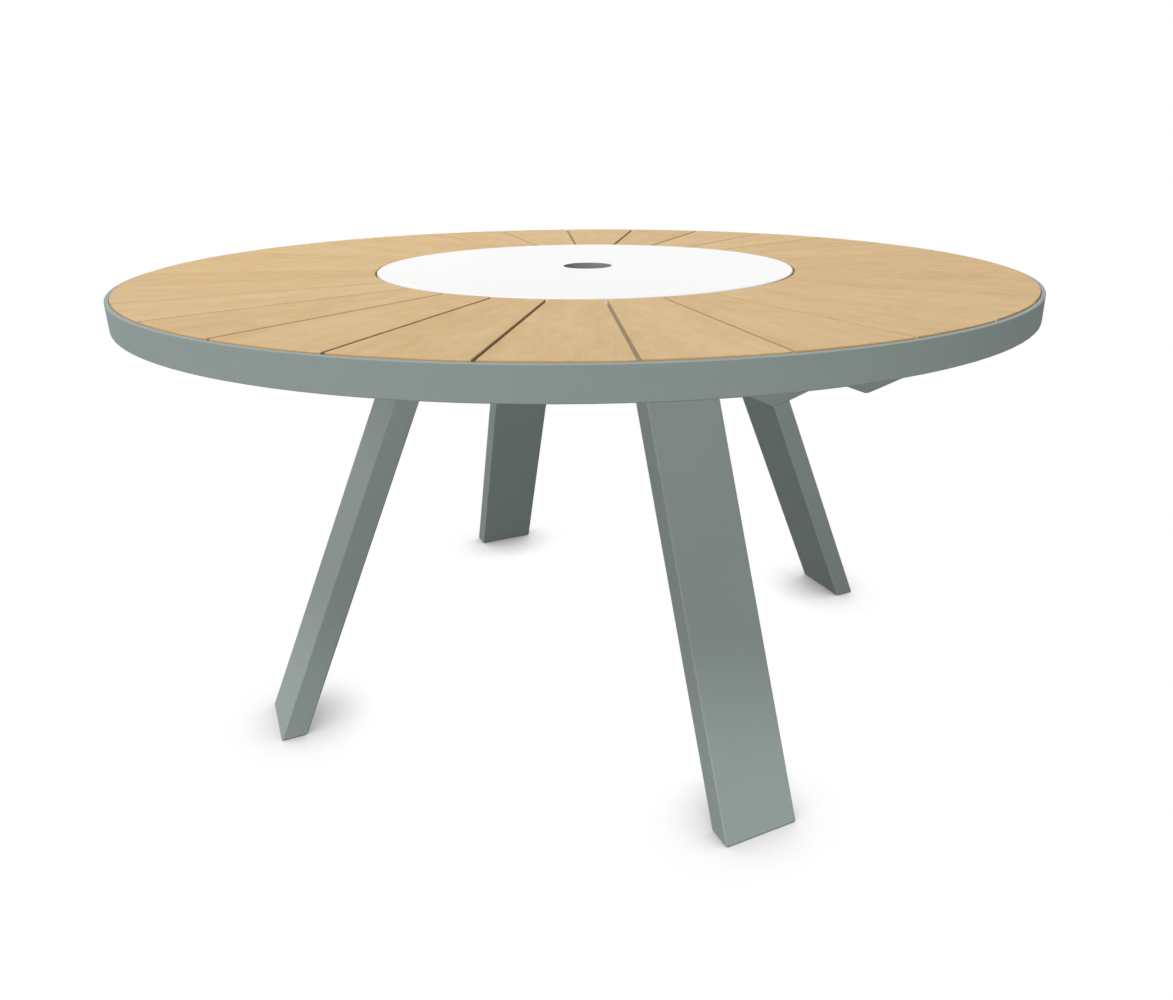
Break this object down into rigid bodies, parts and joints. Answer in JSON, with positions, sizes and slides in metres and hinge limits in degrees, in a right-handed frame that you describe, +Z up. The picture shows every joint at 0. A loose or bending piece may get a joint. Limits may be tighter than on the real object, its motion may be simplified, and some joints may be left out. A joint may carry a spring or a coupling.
{
  "type": "round patio table",
  "caption": "Round outdoor dining table with a keystone-slatted wooden top in a grey-green metal rim, a turning white centre disc with a parasol hole, and splayed flat legs.",
  "frame": {"origin": "on the floor, under the centre of the top", "axes": "+Z up; the legs stand on the diagonals of X and Y; -Y is the front"},
  "size_m": [1.4498, 1.4498, 0.741],
  "materials": {
    "hardwood": "oiled hardwood, satin",
    "frame_paint": "fine-textured powder coat, grey-green",
    "disc_white": "compact laminate, white, matt",
    "liner_grey": "anodised grey",
    "foot_plastic": "black nylon",
    "cage_nylon": "natural nylon",
    "steel": "stainless steel"
  },
  "bodies": {
    "table": {"arm_front_left": "frame_paint", "arm_front_right": "frame_paint", "arm_rear_left": "frame_paint", "arm_rear_right": "frame_paint", "fixed_race": "steel", "fixed_race_screws": "steel", "foot_plug_front_left": "foot_plastic", "foot_plug_front_right": "foot_plastic", "foot_plug_rear_left": "foot_plastic", "foot_plug_rear_right": "foot_plastic", "hub": "frame_paint", "inner_slat_ring": "frame_paint", "leg_bolts": "steel", "leg_front_left": "frame_paint", "leg_front_right": "frame_paint", "leg_plate_front_left": "frame_paint", "leg_plate_front_right": "frame_paint", "leg_plate_rear_left": "frame_paint", "leg_plate_rear_right": "frame_paint", "leg_rear_left": "frame_paint", "leg_rear_right": "frame_paint", "outer_slat_ring": "frame_paint", "parasol_sleeve": "frame_paint", "rim_band": "frame_paint", "slat_01": "hardwood", "slat_02": "hardwood", "slat_03": "hardwood", "slat_04": "hardwood", "slat_05": "hardwood", "slat_06": "hardwood", "slat_07": "hardwood", "slat_08": "hardwood", "slat_09": "hardwood", "slat_10": "hardwood", "slat_11": "hardwood", "slat_12": "hardwood", "slat_13": "hardwood", "slat_14": "hardwood", "slat_15": "hardwood", "slat_16": "hardwood", "slat_17": "hardwood", "slat_18": "hardwood", "slat_19": "hardwood", "slat_20": "hardwood", "slat_21": "hardwood", "slat_22": "hardwood", "slat_23": "hardwood", "slat_24": "hardwood", "slat_25": "hardwood", "slat_26": "hardwood", "slat_27": "hardwood", "slat_28": "hardwood", "slat_screws": "steel"},
    "turntable": {"turntable_disc": "disc_white", "hole_liner": "liner_grey", "turning_race": "steel", "turning_race_screws": "steel"},
    "bearing_cage": {"ball_cage": "cage_nylon", "bearing_balls": "steel"}
  },
  "joints": [
    {"name": "turntable_spin", "type": "hinge", "parent": "table", "child": "turntable", "pos_m": [0, 0, 0.7245], "axis": [0, 0, 1], "continuous": true},
    {"name": "cage_spin", "type": "hinge", "parent": "table", "child": "bearing_cage", "pos_m": [0, 0, 0.7245], "axis": [0, 0, 1], "continuous": true}
  ],
  "couplings": [
    {"joint": "cage_spin", "follows": "turntable_spin", "ratio": 0.5}
  ]
}
